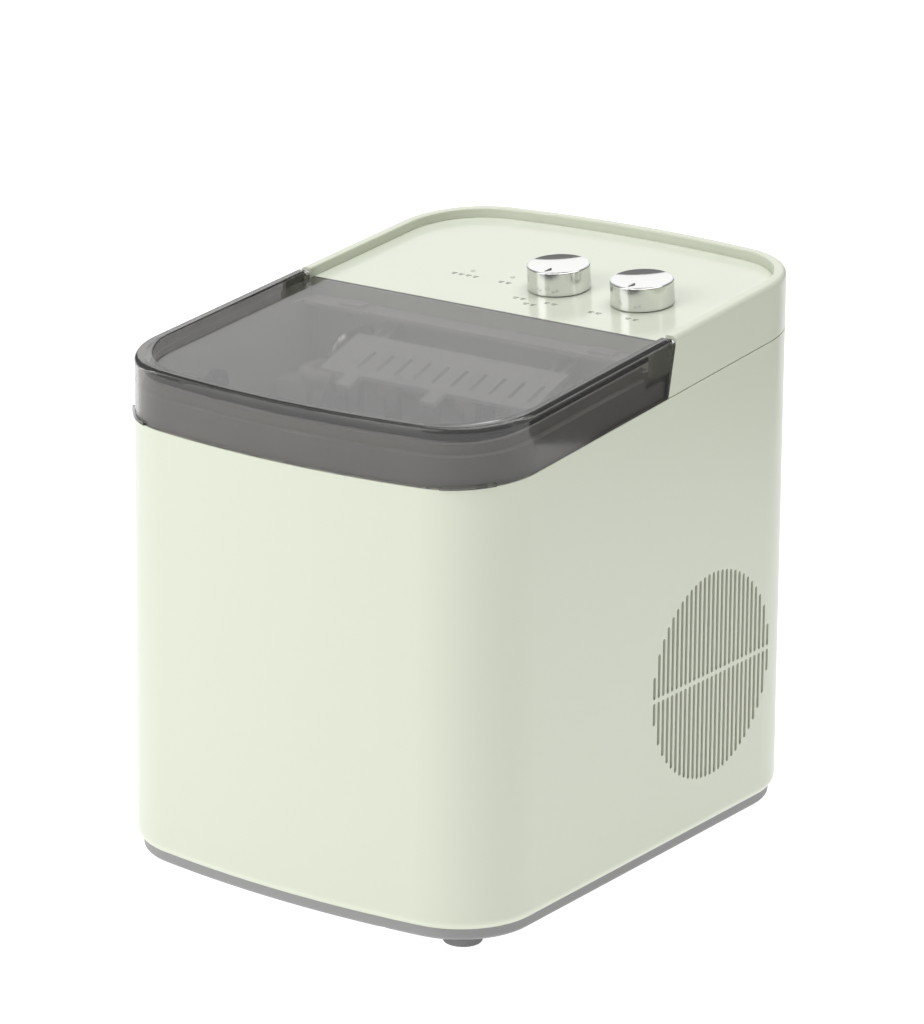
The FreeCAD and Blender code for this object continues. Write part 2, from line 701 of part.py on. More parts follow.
def switch_nuts():
    out = []
    for x in KNOB_XS:
        hexagon = Part.makePolygon([V(x + 7 * math.cos(math.radians(60 * i)),
                                      KNOB_Y + 7 * math.sin(math.radians(60 * i)), -4.8)
                                    for i in range(7)])
        nut = Part.Face(hexagon).extrude(V(0, 0, 2.4))
        out.append(on_slope(nut.cut(cyl(4.52, 10, (x, KNOB_Y, -8)))))
    return group(out)


# ---------------------------------------------------------------- wet side
def liner_solid(grow):
    """Outside (grow 0) or inside (grow = wall) of the tank and the ice compartment."""
    floor = grow if grow > 0 else 0.0
    low = prism(TANK_INSET + grow, TANK_FLOOR_Z + floor, TIER_Z + floor + 1)
    low = low.common(box(-200, 200, -200, TANK_BACK_Y - grow, 0, 300))
    alcove = prism(TANK_INSET + grow, ALCOVE_Z + floor, TIER_Z + floor + 1)
    alcove = alcove.common(box(-200, 200, -60, ALCOVE_BACK_Y - grow, 0, 300))
    high = prism(CHAMBER_INSET + grow, TIER_Z + floor, 290)
    high = high.common(box(-200, 200, -200, ALCOVE_BACK_Y - grow, 0, 300))
    return join([low, alcove, high])


def inner_liner():
    """Tank, ice compartment and the stepped upstand that the lid closes over."""
    body = liner_solid(0.0).common(slab(-100, SEAM_Z + 19.0))
    body = body.cut(box(-200, 200, -6.0, 60, SHELF_Z, 320))
    skin = ring(3.4, CHAMBER_INSET + 1, SEAM_Z - 40, TOP_Z)
    skin = skin.cut(ring(5.4, CHAMBER_INSET, SEAM_Z - 60, TOP_Z + 10).common(slab(-100, SEAM_Z + 12)))
    skin = skin.common(slab(SEAM_Z - 4, SEAM_Z + 14.0))
    skin = skin.common(box(-200, 200, -200, 7.0, 0, 300))
    body = join([body, skin])
    body = body.cut(liner_solid(LINER_T))
    shelf = box(-104, 104, 2.0, ALCOVE_BACK_Y - 1.0, SHELF_Z - 2.0, SHELF_Z)
    ledge = ring(TANK_INSET + 1.0, TANK_INSET + LINER_T + 4.6, 121.0, 127.9)
    ledge = ledge.common(box(-200, 200, -200, -62.0, 0, 300))
    body = join([body, shelf, ledge])
    notch = prism(0, 200, 290).cut(prism(CHAMBER_INSET - 0.05, 199, 291))
    notch = notch.common(box(-200, 200, -9.0, 60, 0, 300)).common(slab(SEAM_Z + 8.0, 400))
    drain = cyl(6.7, 30, (-120, DRAIN_Y, DRAIN_Z), (1, 0, 0))
    leads = [cyl(4.4, 20, (s * 72, 5, 242), (0, 1, 0)) for s in (-1, 1)]
    hose = cyl(3.8, 10, (-88, 4, ALCOVE_Z - 4))
    return body.cut(Part.makeCompound([notch, drain, hose] + leads))


def foam_insulation():
    """Moulded foam jacket round the front and sides of the tank."""
    jacket = ring(SHELL_T + 0.5, TANK_INSET - 0.05, 60.0, 188.0)
    jacket = jacket.common(box(-200, 200, -200, TANK_BACK_Y, 0, 300))
    under = prism(TANK_INSET + 8, 60.0, TANK_FLOOR_Z - 0.05)
    under = under.common(box(-200, 200, -200, TANK_BACK_Y, 0, 300))
    floor_edge = ring(TANK_INSET - 1, TANK_INSET + 9, 60.0, TANK_FLOOR_Z - 0.05)
    floor_edge = floor_edge.common(box(-200, 200, -200, TANK_BACK_Y, 0, 300))
    body = join([jacket, under, floor_edge])
    return body.cut(cyl(11.2, 30, (-130, DRAIN_Y, DRAIN_Z), (1, 0, 0)))


def drain_outlet():
    """Short spout from the tank to the hole in the left side."""
    tube = cyl(9.0, 10.2, (-112.4, DRAIN_Y, DRAIN_Z), (1, 0, 0))
    tube = tube.common(prism(0, 50, 120).cut(prism(TANK_INSET - 1e-3, 49, 121).common(
        box(-200, 200, -200, 0, 0, 300))))
    collar = cyl(11.0, 1.5, (-111.5, DRAIN_Y, DRAIN_Z), (1, 0, 0))
    return join([tube, collar]).cut(cyl(6.5, 40, (-130, DRAIN_Y, DRAIN_Z), (1, 0, 0)))


def drain_plug():
    stem = cyl(6.42, 13.5, (-114.0, DRAIN_Y, DRAIN_Z), (1, 0, 0))
    head = cyl(10.2, 2.0, (-114.8, DRAIN_Y, DRAIN_Z), (1, 0, 0))
    grip = box(-114.9, -112.9, DRAIN_Y - 1.6, DRAIN_Y + 1.6, DRAIN_Z - 7, DRAIN_Z + 7)
    groove = cyl(8.6, 1.2, (-115.0, DRAIN_Y, DRAIN_Z), (1, 0, 0)).cut(grip)
    return join([stem, head]).cut(groove)


def ice_basket():
    """Slotted basket that lifts out; it follows the front of the compartment."""
    back_y = -52.0
    inset = TANK_INSET + LINER_T + 2.4
    wall = 2.0
    outer = prism(inset, 128.0, 190.0).common(box(-200, 200, -200, back_y, 0, 300))
    inner = prism(inset + wall, 128.0 + wall, 200.0).common(box(-200, 200, -200, back_y - wall, 0, 300))
    lip = prism(inset - 1.2, 187.5, 190.0).common(box(-200, 200, -200, back_y + 1.0, 0, 300))
    body = join([outer, lip]).cut(inner)
    cuts = []
    for i in range(13):
        x = (i - 6) * 12.0
        cuts.append(box(x - 2.2, x + 2.2, back_y - 8, back_y + 8, 138, 160))
        cuts.append(box(x - 2.2, x + 2.2, -116, -64, 120, 140))
    for i in range(4):
        y = -98.0 + i * 11.0
        cuts.append(box(-150, 150, y - 2.2, y + 2.2, 138, 160))
    return body.cut(Part.makeCompound(cuts))


def evaporator_tube():
    path = [(-72, 22, 242), (-72, -12, 242), (-72, -12, 228), (72, -12, 228), (72, -12, 242), (72, 22, 242)]
    return pipe(path, 4.0, 6.9)


def evaporator_fingers():
    """Plated fingers brazed under the evaporator tube; ice grows round each one."""
    out = []
    for i in range(FINGER_COUNT):
        x = (i - (FINGER_COUNT - 1) / 2) * FINGER_PITCH
        rod = cyl(4.5, 29.0, (x, TRAY_Y, 197.0))
        tip = Part.makeSphere(4.5, V(x, TRAY_Y, 197.0))
        saddle = box(x - 6, x + 6, TRAY_Y - 5.5, TRAY_Y + 5.5, 222, 228)
        finger = join([rod, tip, saddle])
        out.append(finger.cut(cyl(4.0, 40, (x - 20, TRAY_Y, 228), (1, 0, 0))))
    return group(out)


def evaporator_bracket():
    plate = box(-56, 56, TRAY_Y - 5, ALCOVE_BACK_Y - LINER_T, 232.0, 233.6)
    flange = box(-56, 56, ALCOVE_BACK_Y - LINER_T - 1.6, ALCOVE_BACK_Y - LINER_T, 220, 233.6)
    windows = [box(x - 7, x + 7, -4, 8, 230, 236) for x in (-36, -12, 12, 36)]
    return join([plate, flange]).cut(Part.makeCompound(windows))


def water_tray():
    """Half-round trough under the fingers; it tips forwards to drop the ice."""
    half = box(-200, 200, TRAY_Y - 50, TRAY_Y + 50, TRAY_Z - 50, TRAY_Z)
    tube = cyl(TRAY_R, 2 * TRAY_HALF, (-TRAY_HALF, TRAY_Y, TRAY_Z), (1, 0, 0))
    bore = cyl(TRAY_R - 2, 2 * TRAY_HALF - 4, (-TRAY_HALF + 2, TRAY_Y, TRAY_Z), (1, 0, 0))
    trough = tube.cut(bore).common(half)
    discs = [cyl(6.0, 2.0, (x, TRAY_Y, TRAY_Z), (1, 0, 0)) for x in (-TRAY_HALF, TRAY_HALF - 2)]
    stubs = [cyl(SHAFT_R, 9.0, (-TRAY_HALF - 9, TRAY_Y, TRAY_Z), (1, 0, 0)),
             cyl(SHAFT_R, 9.0, (TRAY_HALF, TRAY_Y, TRAY_Z), (1, 0, 0))]
    return join([trough] + discs + stubs)


def tray_bearing():
    block = box(-104.4, -85.0, TRAY_Y - 8, TRAY_Y + 8, TRAY_Z - 8, TRAY_Z + 8)
    return block.cut(cyl(SHAFT_R + RUN, 14, (-98, TRAY_Y, TRAY_Z), (1, 0, 0)))


def tray_motor():
    """Small synchronous gear motor in a sealed case on the compartment wall."""
    case = box(84.0, 104.4, TRAY_Y - 15, TRAY_Y + 15, TRAY_Z - 13, TRAY_Z + 13)
    case = case.makeFillet(2.0, [e for e in case.Edges if abs(e.Vertexes[0].X - e.Vertexes[1].X) > 1])
    return case.cut(cyl(SHAFT_R + RUN, 6, (83, TRAY_Y, TRAY_Z), (1, 0, 0)))


def on_shovel_slope(shape):
    """Place a shape drawn level, with its front edge at y = 0 and its top at z = 0."""
    return moved(turned(shape, SHOVEL_ANGLE), y=SHOVEL_FRONT[0], z=SHOVEL_FRONT[1])


def ice_shovel():
    """Comb plate that slides down its slope and pushes the ice into the basket."""
    plate = box(-SHOVEL_HALF, SHOVEL_HALF, 0, SHOVEL_DEPTH, -2.2, 0)
    slots = []
    for i in range(10):
        x = 7.0 + (i - 4.5) * COMB_PITCH
        slots.append(box(x - 1.1, x + 1.1, 6.0, 21.0, -5, 5))
    tabs = [box(x - 4.5, x + 4.5, -10.0, 1.0, -2.2, 0) for x in (-42.5, 9.0)]
    runners = [box(x - 2, x + 2, 1.0, SHOVEL_DEPTH, -5.2, -2.0) for x in (-RUNNER_X, RUNNER_X)]
    return on_shovel_slope(join([plate] + tabs + runners).cut(Part.makeCompound(slots)))


def shovel_rails():
    rails = []
    for x in (-RUNNER_X, RUNNER_X):
        channel = box(x - 4.5, x + 4.5, 2.0, 60.0, -8.0, -2.5)
        channel = channel.cut(box(x - 2.3, x + 2.3, 0, 80.0, -5.5, 0))
        rail = on_shovel_slope(channel)
        rails.append(rail.common(box(-100, 100, -60, ALCOVE_BACK_Y - LINER_T, 200, 300)))
    return group(rails)


def ice_level_sensors():
    """Infrared pair that sees when the basket is full."""
    out = []
    for side in (-1, 1):
        x_wall = side * 104.3
        body = cyl(7.0, 4.0, (x_wall, -70, 229), (-side, 0, 0))
        dome = cyl(3.0, 7.0, (x_wall, -70, 229), (-side, 0, 0))
        out.append(join([body, dome]))
    return group(out)


def water_level_probe():
    stem = cyl(2.0, 40.0, (80, -10.4, 90), (0, 0, 1))
    head = box(74, 86, -12.4, TANK_BACK_Y - LINER_T - 0.01, 128, 140)
    return join([stem, head])


def lid_pads():
    """Two soft pads on the shelf under the rear of the lid."""
    pads = []
    for side in (-1, 1):
        x0 = min(side * 69, side * 83)
        pads.append(box(x0, x0 + 14, 4.0, 13.0, SHELF_Z, SHELF_Z + 1.8))
    return group(pads)


# ---------------------------------------------------------------- water circuit
def water_pump():
    """Centrifugal pump on the base, under the tank."""
    motor = cyl(17.0, 26.0, (-60, -44, 10.5))
    volute = cyl(19.0, 12.0, (-60, -44, 36.5))
    foot = box(-80, -40, -64, -24, BASE_FLOOR, 10.5)
    inlet = cyl(4.5, 8.0, (-60, -44, 48.5))
    outlet = cyl(4.2, 14.0, (-76, -27, 42.5), (0, 1, 0))
    arm = box(-80.2, -71.8, -44, -20, 38.3, 46.7)
    return join([foot, motor, volute, inlet, arm, outlet])


def suction_hose():
    """From the tank floor down into the pump."""
    return cyl(4.5, 3.5, (-60, -44, 56.5))


def fill_hose():
    """From the pump, up behind the tank and through the alcove floor, to the tray."""
    path = [(-76, -13, 42.5), (-76, 4, 42.5), (-88, 4, 60), (-88, 4, 226), (-88, -22, 226), (-66, -22, 226)]
    return pipe(path, 3.5, 7.5)


# ---------------------------------------------------------------- refrigeration
def compressor():
    """Hermetic can on a four-legged plate."""
    plate_top = COMP_PLATE_Z + 2.0
    can = cyl(COMP_R, COMP_TOP - plate_top, (COMP_X, COMP_Y, plate_top))
    can = can.makeFillet(18.0, [e for e in can.Edges if e.BoundBox.ZMin > 130])
    plate = box(COMP_X - 44, COMP_X + 44, COMP_Y - 44, COMP_Y + 44,
                COMP_PLATE_Z, plate_top)
    plate = plate.makeFillet(8.0, [e for e in plate.Edges if abs(e.Vertexes[0].Z - e.Vertexes[1].Z) > 1])
    seam = cyl(COMP_R + 1.5, 3.0, (COMP_X, COMP_Y, 76.0))
    box_mount = box(COMP_X + COMP_R - 4, COMP_X + COMP_R + 2, COMP_Y - 16, COMP_Y + 16, 80, 116)
    body = join([can, plate, seam, box_mount])
    holes = [cyl(2.45, 10, (x, y, 10)) for x, y in compressor_bolt_places()]
    return body.cut(Part.makeCompound(holes))


def compressor_grommets():
    out = []
    for x, y in compressor_bolt_places():
        grommet = cyl(6.5, COMP_PLATE_Z - BASE_FLOOR, (x, y, BASE_FLOOR))
        out.append(grommet.cut(cyl(2.45, 20, (x, y, 0))))
    return group(out)


def compressor_bolts():
    top = COMP_PLATE_Z + 2.0
    length = top - FOOT_H - 0.3
    return group([screw((x, y, top), (0, 0, -1), 4.2, 3.0, FOOT_SCREW_R, length)
                  for x, y in compressor_bolt_places()])


def relay_cover():
    x0 = COMP_X + COMP_R + 2
    return box(x0, x0 + 14, COMP_Y - 18, COMP_Y + 18, 78, 118)


def condenser_places():
    return [FAN_Z - 40 + i * 20 for i in range(5)]


def condenser_fins():
    fins = []
    tubes = Part.makeCompound([cyl(3.25, 120, (52, -10, z), (0, 1, 0)) for z in condenser_places()])
    for i in range(14):
        y = 11.5 + i * 6.2
        fins.append(box(41, 63, y, y + 0.8, FAN_Z - 50, FAN_Z + 50).cut(tubes))
    return group(fins)


def condenser_coil():
    """Five straight runs joined by return bends."""
    points = []
    heights = condenser_places()
    for i, z in enumerate(heights):
        ends = [(52, -1.0, z), (52, 104.0, z)]
        if i % 2:
            ends.reverse()
        points += ends
    points[0] = (52, 0.5, heights[0])
    points[-1] = (52, 101.0, heights[-1])
    return pipe(points, 3.2, 9.6)


def fan_shroud():
    """Square frame round the fan, with a spider that carries the motor."""
    frame = box(88, 108, FAN_Y - 52, FAN_Y + 52, FAN_Z - 52, FAN_Z + 52)
    frame = frame.makeFillet(6.0, [e for e in frame.Edges if abs(e.Vertexes[0].X - e.Vertexes[1].X) > 1])
    frame = frame.cut(cyl(49.5, 40, (80, FAN_Y, FAN_Z), (1, 0, 0)))
    arms = []
    for angle in (45, 135, 225, 315):
        arm = box(88, 91, 16, 50.5, -2.5, 2.5)
        arms.append(moved(turned(arm, angle), y=FAN_Y, z=FAN_Z))
    hub = cyl(19.0, 3.0, (88, FAN_Y, FAN_Z), (1, 0, 0))
    body = join([frame, hub] + arms)
    return body.cut(cyl(16.0, 20, (80, FAN_Y, FAN_Z), (1, 0, 0)))


def fan_motor():
    case = cyl(15.98, 19.0, (72, FAN_Y, FAN_Z), (1, 0, 0))
    return case.cut(cyl(2.0 + RUN, 8, (84, FAN_Y, FAN_Z), (1, 0, 0)))


def fan_shaft():
    return cyl(2.0, 16.0, (85, FAN_Y, FAN_Z), (1, 0, 0))


def fan_blades():
    hub = cyl(14.0, 10.0, (92.5, FAN_Y, FAN_Z), (1, 0, 0))
    blades = []
    for i in range(7):
        blade = box(-0.8, 0.8, -13, 13, 12, 46)
        blade.rotate(V(0, 0, 0), V(0, 0, 1), 55)
        blade = blade.common(box(-5, 5, -20, 20, 0, 60)).common(cyl(46, 20, (-10, 0, 0), (1, 0, 0)))
        blades.append(moved(turned(blade, 360.0 / 7 * i), x=97.5, y=FAN_Y, z=FAN_Z))
    wheel = join([hub] + blades)
    return wheel.cut(cyl(2.0, 30, (85, FAN_Y, FAN_Z), (1, 0, 0)))


def discharge_tube():
    """Compressor to the condenser's top run."""
    top_run = condenser_places()[-1]
    return pipe([(COMP_X + 8, COMP_Y + 8, COMP_TOP), (COMP_X + 8, COMP_Y + 8, 152), (20, 118, 152),
                 (52, 118, 152), (52, 118, top_run), (52, 101, top_run)], 3.2, 8.0)


def filter_drier():
    body = cyl(8.0, 44.0, (22, 30, 40))
    necks = [cone(8.0, 3.0, 6.0, (22, 30, 84)), cone(3.0, 8.0, 6.0, (22, 30, 34))]
    return join([body] + necks)


def liquid_tube():
    """Condenser's bottom run to the drier."""
    z = condenser_places()[0]
    return pipe([(52, 0.4, z), (52, -6.5, z), (22, -6.5, z - 30), (22, 30, z - 30), (22, 30, 34)], 2.4, 3.0)


def capillary_tube():
    """Fine tube from the drier up to the evaporator."""
    route = [(22, 30, 90), (22, 30, 200), (60, 30, 200), (60, 30, 242), (72, 30, 242), (72, 22, 242)]
    return pipe(route, 1.2, 2.6)


def suction_tube():
    """Return tube from the evaporator down to the compressor."""
    route = [(-72, 22, 242), (-72, 40, 242), (-72, 40, 165), (-60, COMP_Y, 165), (-60, COMP_Y, COMP_TOP)]
    return pipe(route, 4.0, 8.0)


def hot_gas_valve():
    body = box(4, 24, 100, 120, 60, 92)
    coil = cyl(11.0, 22.0, (14, 110, 92))
    return join([body, coil])


def main_board():
    board = box(-60, 60, 128, 129.6, 150, 212)
    parts = [box(-50, -24, 112, 128, 160, 190), box(-10, 10, 116, 128, 156, 176),
             cyl(8.0, 18.0, (34, 128, 190), (0, -1, 0)), box(20, 50, 118, 128, 156, 168)]
    return join([board] + parts)


def board_carrier():
    """Plastic tray that holds the main board off the rear panel."""
    back = box(-66, 66, 131.6, 133.6, 146, 214)
    studs = [cyl(2.5, 2.1, (x, 129.6, z), (0, 1, 0)) for x in (-54, 54) for z in (154, 206)]
    return join([back] + studs)


NODES = {
    "base_tray": base_tray,
    "rubber_feet": rubber_feet,
    "foot_screws": foot_screws,
    "body_shell": body_shell,
    "base_screws": base_screws,
    "rear_panel": rear_panel,
    "rear_panel_screws": rear_panel_screws,
    "cord_gland": cord_gland,
    "top_cover": top_cover,
    "cover_brackets": shell_brackets,
    "cover_screws": cover_screws,
    "control_panel": control_panel,
    "indicator_lenses": indicator_lenses,
    "control_board": control_board,
    "control_board_posts": board_posts,
    "rotary_switches": rotary_switches,
    "switch_nuts": switch_nuts,
    "lid": lid,
    "lid_hinge_pins": lid_hinge_pins,
    "lid_pads": lid_pads,
    "inner_liner": inner_liner,
    "foam_insulation": foam_insulation,
    "drain_outlet": drain_outlet,
    "drain_plug": drain_plug,
    "ice_basket": ice_basket,
    "evaporator_tube": evaporator_tube,
    "evaporator_fingers": evaporator_fingers,
    "evaporator_bracket": evaporator_bracket,
    "water_tray": water_tray,
    "tray_bearing": tray_bearing,
    "tray_motor": tray_motor,
    "ice_shovel": ice_shovel,
    "shovel_rails": shovel_rails,
    "ice_level_sensors": ice_level_sensors,
    "water_level_probe": water_level_probe,
    "water_pump": water_pump,
    "suction_hose": suction_hose,
    "fill_hose": fill_hose,
    "compressor": compressor,
    "compressor_grommets": compressor_grommets,
    "compressor_bolts": compressor_bolts,
    "relay_cover": relay_cover,
    "condenser_fins": condenser_fins,
    "condenser_coil": condenser_coil,
    "fan_shroud": fan_shroud,
    "fan_motor": fan_motor,
    "fan_shaft": fan_shaft,
    "fan_blades": fan_blades,
    "discharge_tube": discharge_tube,
    "filter_drier": filter_drier,
    "liquid_tube": liquid_tube,
    "capillary_tube": capillary_tube,
    "suction_tube": suction_tube,
    "hot_gas_valve": hot_gas_valve,
    "main_board": main_board,
    "board_carrier": board_carrier,
}


def export_all():
    os.makedirs("parts", exist_ok=True)
    shapes = {name: make() for name, make in NODES.items()}
    shapes["left_knob"] = knob(KNOB_XS[0])
    shapes["right_knob"] = knob(KNOB_XS[1])
    shapes["left_knob_shaft"] = knob_shaft(KNOB_XS[0])
    shapes["right_knob_shaft"] = knob_shaft(KNOB_XS[1])
    for name, shape in shapes.items():
        shape.exportStep("parts/" + name + ".step")
        print(name, "solids", len(shape.Solids), "valid", shape.isValid(), "mm3", round(shape.Volume))


export_all()
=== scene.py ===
import json
import math

import bmesh
import bpy
from mathutils import Matrix, Vector


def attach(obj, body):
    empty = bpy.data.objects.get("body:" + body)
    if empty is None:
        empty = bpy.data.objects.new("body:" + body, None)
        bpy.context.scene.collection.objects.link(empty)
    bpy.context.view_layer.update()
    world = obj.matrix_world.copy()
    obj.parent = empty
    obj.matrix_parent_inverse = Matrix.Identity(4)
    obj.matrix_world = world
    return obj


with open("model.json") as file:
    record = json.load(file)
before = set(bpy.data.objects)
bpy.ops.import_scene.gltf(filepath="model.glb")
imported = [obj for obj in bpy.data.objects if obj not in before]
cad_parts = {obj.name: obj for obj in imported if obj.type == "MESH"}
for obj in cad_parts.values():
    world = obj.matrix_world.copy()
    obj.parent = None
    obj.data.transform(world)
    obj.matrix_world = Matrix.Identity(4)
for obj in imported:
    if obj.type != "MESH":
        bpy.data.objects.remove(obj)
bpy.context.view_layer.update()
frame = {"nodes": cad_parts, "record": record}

# ---------------------------------------------------------------- sizes, in metres
MM = 0.001
TILT = math.radians(5.5)          # slope of the lid, rim and control panel
PANEL_Z = 0.2653                  # the panel's surface at y = 0

# camera: the viewing angle of the reference, with its slight roll
AZIMUTH = math.radians(35.70)
ELEVATION = math.radians(17.23)
ROLL = math.radians(0.502)
DISTANCE = 2.2224
LENS_MM = 153.24
SENSOR_MM = 36.0
AIM_RIGHT = -0.00048
AIM_UP = 0.14692
AIM_Z = 0.0115


def slope_point(x, y, z=0.0):
    """A point given in millimetres on the control panel's sloping surface."""
    return Vector((x * MM,
                   (y * math.cos(TILT) - z * math.sin(TILT)) * MM,
                   PANEL_Z + (y * math.sin(TILT) + z * math.cos(TILT)) * MM))


# ---------------------------------------------------------------- camera, lights, floor
def make_camera():
    flat_right = Vector((math.cos(AZIMUTH), math.sin(AZIMUTH), 0.0))
    back = Vector((math.sin(AZIMUTH) * math.cos(ELEVATION),
                   -math.cos(AZIMUTH) * math.cos(ELEVATION),
                   math.sin(ELEVATION)))
    flat_up = back.cross(flat_right)
    right = flat_right * math.cos(ROLL) + flat_up * math.sin(ROLL)
    up = flat_up * math.cos(ROLL) - flat_right * math.sin(ROLL)
    place = Vector((0, 0, AIM_Z)) + back * DISTANCE + right * AIM_RIGHT + up * AIM_UP
    data = bpy.data.cameras.new("camera")
    data.lens = LENS_MM
    data.sensor_width = SENSOR_MM
    data.clip_end = 50.0
    camera = bpy.data.objects.new("camera", data)
    camera.matrix_world = Matrix.Translation(place) @ Matrix((right, up, back)).transposed().to_4x4()
    bpy.context.collection.objects.link(camera)
    bpy.context.scene.camera = camera


def area_light(name, place, target, size, power, size_y=None):
    data = bpy.data.lights.new(name, "AREA")
    data.shape = "RECTANGLE"
    data.size = size
    data.size_y = size_y or size
    data.energy = power
    light = bpy.data.objects.new(name, data)
    direction = Vector(target) - Vector(place)
    light.matrix_world = (Matrix.Translation(place)
                          @ direction.to_track_quat("-Z", "Y").to_matrix().to_4x4())
    bpy.context.collection.objects.link(light)
    return light


def make_studio():
    scene = bpy.context.scene
    scene.view_settings.view_transform = "Standard"
    world = bpy.data.worlds.new("studio")
    scene.world = world
    world.use_nodes = True
    background = world.node_tree.nodes["Background"]
    background.inputs["Color"].default_value = (1.0, 1.0, 1.0, 1.0)
    background.inputs["Strength"].default_value = 0.2
    area_light("key", (-1.5, -2.3, 1.1), (0, 0, 0.15), 1.6, 20.5, 2.0)
    area_light("high_front", (-0.6, -1.8, 2.0), (0, 0, 0.2), 1.5, 15)
    area_light("top", (0.1, 0.3, 2.2), (0, 0, 0.2), 1.8, 31)
    area_light("corner_strip", (2.2, 0.35, 0.8), (0, 0, 0.15), 0.22, 1.45, 1.6)
    area_light("behind", (-1.75, 2.2, 1.32), (0, 0, 0.26), 2.2, 7.4, 1.23)
    area_light("low_behind", (-2.2, 2.9, 0.4), (0, 0, 0.26), 3.0, 5, 0.6)
    mesh = bpy.data.meshes.new("floor")
    edit = bmesh.new()
    bmesh.ops.create_grid(edit, x_segments=1, y_segments=1, size=8.0)
    edit.to_mesh(mesh)
    edit.free()
    floor = bpy.data.objects.new("floor", mesh)
    bpy.context.collection.objects.link(floor)
    floor.data.materials.append(floor_material())
    make_flag((0.50, 0.68, 0.13), 0.36, 0.13)


def make_flag(place, half_width, half_height):
    """A dark studio card, unseen by the camera, that darkens the lid's right side."""
    mesh = bpy.data.meshes.new("flag")
    edit = bmesh.new()
    bmesh.ops.create_grid(edit, x_segments=1, y_segments=1, size=1.0)
    bmesh.ops.scale(edit, vec=(half_width, half_height, 1.0), verts=edit.verts)
    edit.to_mesh(mesh)
    edit.free()
    flag = bpy.data.objects.new("flag", mesh)
    away = Vector((place[0], place[1], 0.0))
    flag.matrix_world = Matrix.Translation(place) @ away.to_track_quat("Z", "Y").to_matrix().to_4x4()
    bpy.context.collection.objects.link(flag)
    flag.data.materials.append(rubber("flag_cloth", (0.03, 0.03, 0.03)))
    flag.visible_camera = False


# ---------------------------------------------------------------- materials
class Nodes:
    """A short way to build a node tree round one Principled shader."""

    def __init__(self, name):
        self.material = bpy.data.materials.new(name)
        self.material.use_nodes = True
        self.tree = self.material.node_tree
        self.shader = self.tree.nodes["Principled BSDF"]
        self.output = self.tree.nodes["Material Output"]

    def node(self, kind, **inputs):
        made = self.tree.nodes.new(kind)
        for key, value in inputs.items():
            made.inputs[key.replace("_", " ")].default_value = value
        return made

    def link(self, a, b):
        self.tree.links.new(a, b)

    def noise(self, scale, detail=4.0, stretch=None):
        coords = self.node("ShaderNodeTexCoord")
        texture = self.node("ShaderNodeTexNoise", Scale=scale, Detail=detail)
        source = coords.outputs["Object"]
        if stretch:
            mapping = self.node("ShaderNodeMapping")
            mapping.inputs["Scale"].default_value = stretch
            self.link(source, mapping.inputs["Vector"])
            source = mapping.outputs["Vector"]
        self.link(source, texture.inputs["Vector"])
        return texture.outputs["Fac"]

    def spread(self, factor, low, high):
        """Map a 0..1 factor to a range of numbers."""
        ramp = self.node("ShaderNodeMapRange", To_Min=low, To_Max=high)
        ramp.inputs["From Min"].default_value = 0.3
        ramp.inputs["From Max"].default_value = 0.7
        self.link(factor, ramp.inputs["Value"])
        return ramp.outputs["Result"]

    def tint(self, factor, dark, light):
        mix = self.node("ShaderNodeMix")
        mix.data_type = "RGBA"
        mix.inputs[6].default_value = (*dark, 1.0)
        mix.inputs[7].default_value = (*light, 1.0)
        self.link(factor, mix.inputs[0])
        return mix.outputs[2]

    def bump(self, height, strength, distance):
        bump = self.node("ShaderNodeBump", Strength=strength, Distance=distance)
        self.link(height, bump.inputs["Height"])
        self.link(bump.outputs["Normal"], self.shader.inputs["Normal"])


def shade(colour, amount):
    return tuple(min(1.0, c * amount) for c in colour)


def plastic(name, colour, rough, grain=900.0, bump=0.12, vary=0.03, rough_vary=0.05):
    """Moulded plastic: faint cloudiness, a fine moulded grain and uneven gloss."""
    n = Nodes(name)
    cloud = n.noise(9.0, 5.0)
    grain_height = n.noise(grain, 3.0)
    n.link(n.tint(cloud, shade(colour, 1 - vary), shade(colour, 1 + vary)), n.shader.inputs["Base Color"])
    gloss = n.spread(n.noise(60.0, 3.0), rough - rough_vary, rough + rough_vary)
    n.link(gloss, n.shader.inputs["Roughness"])
    n.bump(grain_height, bump, 0.0002)
    return n.material


def metal(name, colour, rough, stretch=None, bump=0.05, scale=400.0):
    """Metal with a brushed or cast grain in its roughness and its bump."""
    n = Nodes(name)
    grain = n.noise(scale, 4.0, stretch)
    n.link(n.tint(grain, shade(colour, 0.93), shade(colour, 1.05)), n.shader.inputs["Base Color"])
    n.link(n.spread(grain, rough * 0.8, rough * 1.3), n.shader.inputs["Roughness"])
    n.shader.inputs["Metallic"].default_value = 1.0
    n.bump(grain, bump, 0.0001)
    return n.material


def rubber(name, colour, rough=0.75):
    n = Nodes(name)
    grain = n.noise(1400.0, 5.0)
    n.link(n.tint(grain, shade(colour, 0.85), shade(colour, 1.15)), n.shader.inputs["Base Color"])
    n.link(n.spread(grain, rough - 0.1, rough + 0.1), n.shader.inputs["Roughness"])
    n.bump(grain, 0.3, 0.0002)
    return n.material


